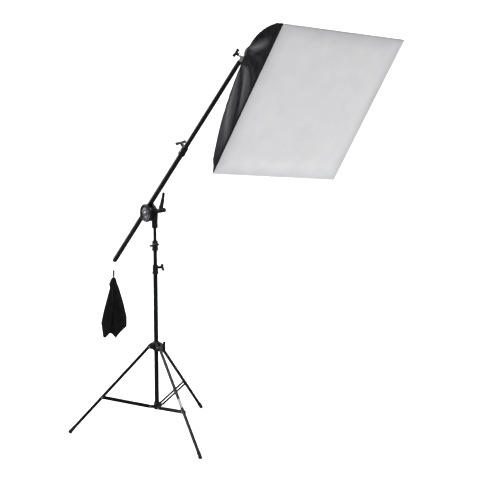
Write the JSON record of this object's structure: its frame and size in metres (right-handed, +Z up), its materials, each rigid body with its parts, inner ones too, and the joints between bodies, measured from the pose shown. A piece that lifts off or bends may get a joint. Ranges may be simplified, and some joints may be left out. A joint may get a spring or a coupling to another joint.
{
  "type": "boom softbox light",
  "caption": "Square fabric softbox on a tilting telescopic boom arm, carried by a folding tripod stand with a clamp and a counterweight bag.",
  "frame": {"origin": "on the floor, below the middle of the whole object's plan box", "axes": "+Z up, +X to the right and +Y away from the viewer who faces the lit side from the front"},
  "size_m": [1.5036, 1.582, 2.1112],
  "materials": {
    "tube_paint": "gloss black paint",
    "casting_black": "satin black moulded plastic",
    "rubber_feet": "matt black rubber",
    "bright_steel": "bright zinc-plated steel",
    "cast_aluminium": "cast and tumbled",
    "black_nylon": "woven black nylon",
    "white_diffuser": "white matt diffusion cloth",
    "lamp_glass": "opal white glass",
    "socket_ceramic": "white glazed ceramic"
  },
  "bodies": {
    "stand": {"base_tube": "tube_paint", "strut_hub": "casting_black", "base_collar": "casting_black"},
    "base_collar_knob": {"base_collar_knob": "casting_black"},
    "yoke": {"yoke": "casting_black", "leg_pin_1": "bright_steel", "leg_pin_2": "bright_steel", "leg_pin_3": "bright_steel"},
    "yoke_knob": {"yoke_knob": "casting_black"},
    "leg_1": {"leg_head_1": "casting_black", "leg_tube_1": "tube_paint", "leg_foot_1": "rubber_feet"},
    "strut_1": {"strut_1": "tube_paint"},
    "leg_2": {"leg_head_2": "casting_black", "leg_tube_2": "tube_paint", "leg_foot_2": "rubber_feet"},
    "strut_2": {"strut_2": "tube_paint"},
    "leg_3": {"leg_head_3": "casting_black", "leg_tube_3": "tube_paint", "leg_foot_3": "rubber_feet"},
    "strut_3": {"strut_3": "tube_paint"},
    "mid": {"mid_tube": "tube_paint", "mid_collar": "casting_black"},
    "mid_collar_knob": {"mid_collar_knob": "casting_black"},
    "top": {"top_tube": "tube_paint"},
    "clamp": {"clamp_socket": "casting_black"},
    "socket_knob": {"socket_knob": "casting_black"},
    "cradle": {"clamp_saddle": "casting_black", "clamp_front_disc": "casting_black", "clamp_bolt": "bright_steel"},
    "clamp_lever": {"clamp_lever": "casting_black"},
    "boom": {"boom_outer_tube": "tube_paint", "boom_end_cap": "casting_black", "boom_collar": "casting_black"},
    "boom_collar_knob": {"boom_collar_knob": "casting_black"},
    "hang_ring": {"hang_ring": "bright_steel"},
    "bag": {"snap_hook": "bright_steel", "bag_strap": "black_nylon", "sandbag": "black_nylon"},
    "hook_gate": {"hook_gate": "bright_steel"},
    "boom_inner": {"boom_inner_tube": "tube_paint", "boom_spigot": "bright_steel"},
    "holder": {"holder_clamp": "cast_aluminium"},
    "holder_clamp_knob": {"holder_clamp_knob": "casting_black"},
    "head": {"tilt_bracket": "casting_black", "lamp_socket": "socket_ceramic", "bulb": "lamp_glass"},
    "tilt_knob": {"tilt_knob": "casting_black"},
    "softbox": {"holder_ring": "casting_black", "rod_1": "bright_steel", "rod_2": "bright_steel", "rod_3": "bright_steel", "rod_4": "bright_steel", "shell_right": "black_nylon", "shell_top": "black_nylon", "shell_left": "black_nylon", "shell_bottom": "black_nylon", "diffuser": "white_diffuser"}
  },
  "joints": [
    {"name": "base_collar_knob_turn", "type": "hinge", "parent": "stand", "child": "base_collar_knob", "pos_m": [-0.32075, 0.41617, 0.827], "axis": [0.9903, -0.1392, 0], "continuous": true},
    {"name": "yoke_slide", "type": "slide", "parent": "stand", "child": "yoke", "axis": [0, 0, 1], "range_m": [0, 0.273]},
    {"name": "yoke_knob_turn", "type": "hinge", "parent": "yoke", "child": "yoke_knob", "pos_m": [-0.32075, 0.41617, 0.4396], "axis": [1, 0, 0], "continuous": true},
    {"name": "leg_1_hinge", "type": "hinge", "parent": "yoke", "child": "leg_1", "pos_m": [-0.35405, 0.41617, 0.4356], "axis": [0, -1, 0], "range_deg": [0, 37.25]},
    {"name": "strut_1_hinge", "type": "hinge", "parent": "stand", "child": "strut_1", "pos_m": [-0.35405, 0.41617, 0.1336], "axis": [0, -1, 0], "range_deg": [-71.1, 0]},
    {"name": "leg_2_hinge", "type": "hinge", "parent": "yoke", "child": "leg_2", "pos_m": [-0.3041, 0.38733, 0.4356], "axis": [0.866, 0.5, 0], "range_deg": [0, 37.25]},
    {"name": "strut_2_hinge", "type": "hinge", "parent": "stand", "child": "strut_2", "pos_m": [-0.3041, 0.38733, 0.1336], "axis": [0.866, 0.5, 0], "range_deg": [-71.1, 0]},
    {"name": "leg_3_hinge", "type": "hinge", "parent": "yoke", "child": "leg_3", "pos_m": [-0.3041, 0.44501, 0.4356], "axis": [-0.866, 0.5, 0], "range_deg": [0, 37.25]},
    {"name": "strut_3_hinge", "type": "hinge", "parent": "stand", "child": "strut_3", "pos_m": [-0.3041, 0.44501, 0.1336], "axis": [-0.866, 0.5, 0], "range_deg": [-71.1, 0]},
    {"name": "mid_slide", "type": "slide", "parent": "stand", "child": "mid", "axis": [0, 0, 1], "range_m": [-0.07, 0.47]},
    {"name": "mid_collar_knob_turn", "type": "hinge", "parent": "mid", "child": "mid_collar_knob", "pos_m": [-0.32075, 0.41617, 0.9418], "axis": [-0.0698, -0.9976, 0], "continuous": true},
    {"name": "top_slide", "type": "slide", "parent": "mid", "child": "top", "axis": [0, 0, 1], "range_m": [-0.062, 0.5]},
    {"name": "clamp_pan", "type": "hinge", "parent": "top", "child": "clamp", "pos_m": [-0.32075, 0.41617, 0], "axis": [0, 0, 1], "continuous": true},
    {"name": "socket_knob_turn", "type": "hinge", "parent": "clamp", "child": "socket_knob", "pos_m": [-0.32075, 0.41617, 1.04425], "axis": [-0.1392, 0.9903, 0], "continuous": true},
    {"name": "boom_tilt", "type": "hinge", "parent": "clamp", "child": "cradle", "pos_m": [-0.32075, 0.41617, 1.096], "axis": [-0.7837, -0.6211, 0], "range_deg": [-50, 30]},
    {"name": "clamp_lever_turn", "type": "hinge", "parent": "clamp", "child": "clamp_lever", "pos_m": [-0.32075, 0.41617, 1.096], "axis": [-0.7837, -0.6211, 0], "range_deg": [-100, 100]},
    {"name": "boom_slide", "type": "slide", "parent": "cradle", "child": "boom", "axis": [-0.4153, 0.524, -0.7436], "range_m": [-0.3, 0.33]},
    {"name": "boom_collar_knob_turn", "type": "hinge", "parent": "boom", "child": "boom_collar_knob", "pos_m": [-0.17431, 0.17715, 1.4375], "axis": [-0.4619, 0.5828, 0.6686], "continuous": true},
    {"name": "boom_extension", "type": "slide", "parent": "boom", "child": "boom_inner", "axis": [-0.4153, 0.524, -0.7436], "range_m": [-0.04, 0.57]},
    {"name": "ring_swing", "type": "hinge", "parent": "boom", "child": "hang_ring", "pos_m": [-0.53041, 0.62645, 0.80587], "axis": [-0.7837, -0.6211, 0], "range_deg": [-40, 60]},
    {"name": "bag_swing", "type": "hinge", "parent": "hang_ring", "child": "bag", "pos_m": [-0.53041, 0.62645, 0.79057], "axis": [-0.7837, -0.6211, 0], "range_deg": [-20, 20]},
    {"name": "hook_gate_open", "type": "hinge", "parent": "bag", "child": "hook_gate", "pos_m": [-0.52638, 0.62135, 0.76767], "axis": [-0.7837, -0.6211, 0], "range_deg": [0, 25], "stiffness_Nm_per_rad": 0.02, "springref_deg": -11.46},
    {"name": "holder_swivel", "type": "hinge", "parent": "boom_inner", "child": "holder", "pos_m": [0.07903, -0.14248, 1.8911], "axis": [0.4153, -0.524, 0.7436], "continuous": true},
    {"name": "holder_knob_turn", "type": "hinge", "parent": "holder", "child": "holder_clamp_knob", "pos_m": [0.07944, -0.143, 1.89184], "axis": [-0.7996, 0.1796, 0.5731], "continuous": true},
    {"name": "head_tilt", "type": "hinge", "parent": "holder", "child": "head", "pos_m": [0.10779, -0.15275, 1.92656], "axis": [-0.7993, -0.6004, 0.0233], "range_deg": [-15, 75]},
    {"name": "tilt_knob_turn", "type": "hinge", "parent": "head", "child": "tilt_knob", "pos_m": [0.10779, -0.15275, 1.92656], "axis": [0.7993, 0.6004, -0.0233], "continuous": true},
    {"name": "softbox_roll", "type": "hinge", "parent": "head", "child": "softbox", "pos_m": [0.10779, -0.15275, 1.92656], "axis": [0.5362, -0.7303, -0.4232], "continuous": true}
  ],
  "couplings": [
    {"joint": "leg_1_hinge", "follows": "yoke_slide", "rad_per_m": 2.375},
    {"joint": "strut_1_hinge", "follows": "yoke_slide", "rad_per_m": -4.5391},
    {"joint": "leg_2_hinge", "follows": "yoke_slide", "rad_per_m": 2.375},
    {"joint": "strut_2_hinge", "follows": "yoke_slide", "rad_per_m": -4.5391},
    {"joint": "leg_3_hinge", "follows": "yoke_slide", "rad_per_m": 2.375},
    {"joint": "strut_3_hinge", "follows": "yoke_slide", "rad_per_m": -4.5391},
    {"joint": "ring_swing", "follows": "boom_tilt", "ratio": -1}
  ]
}
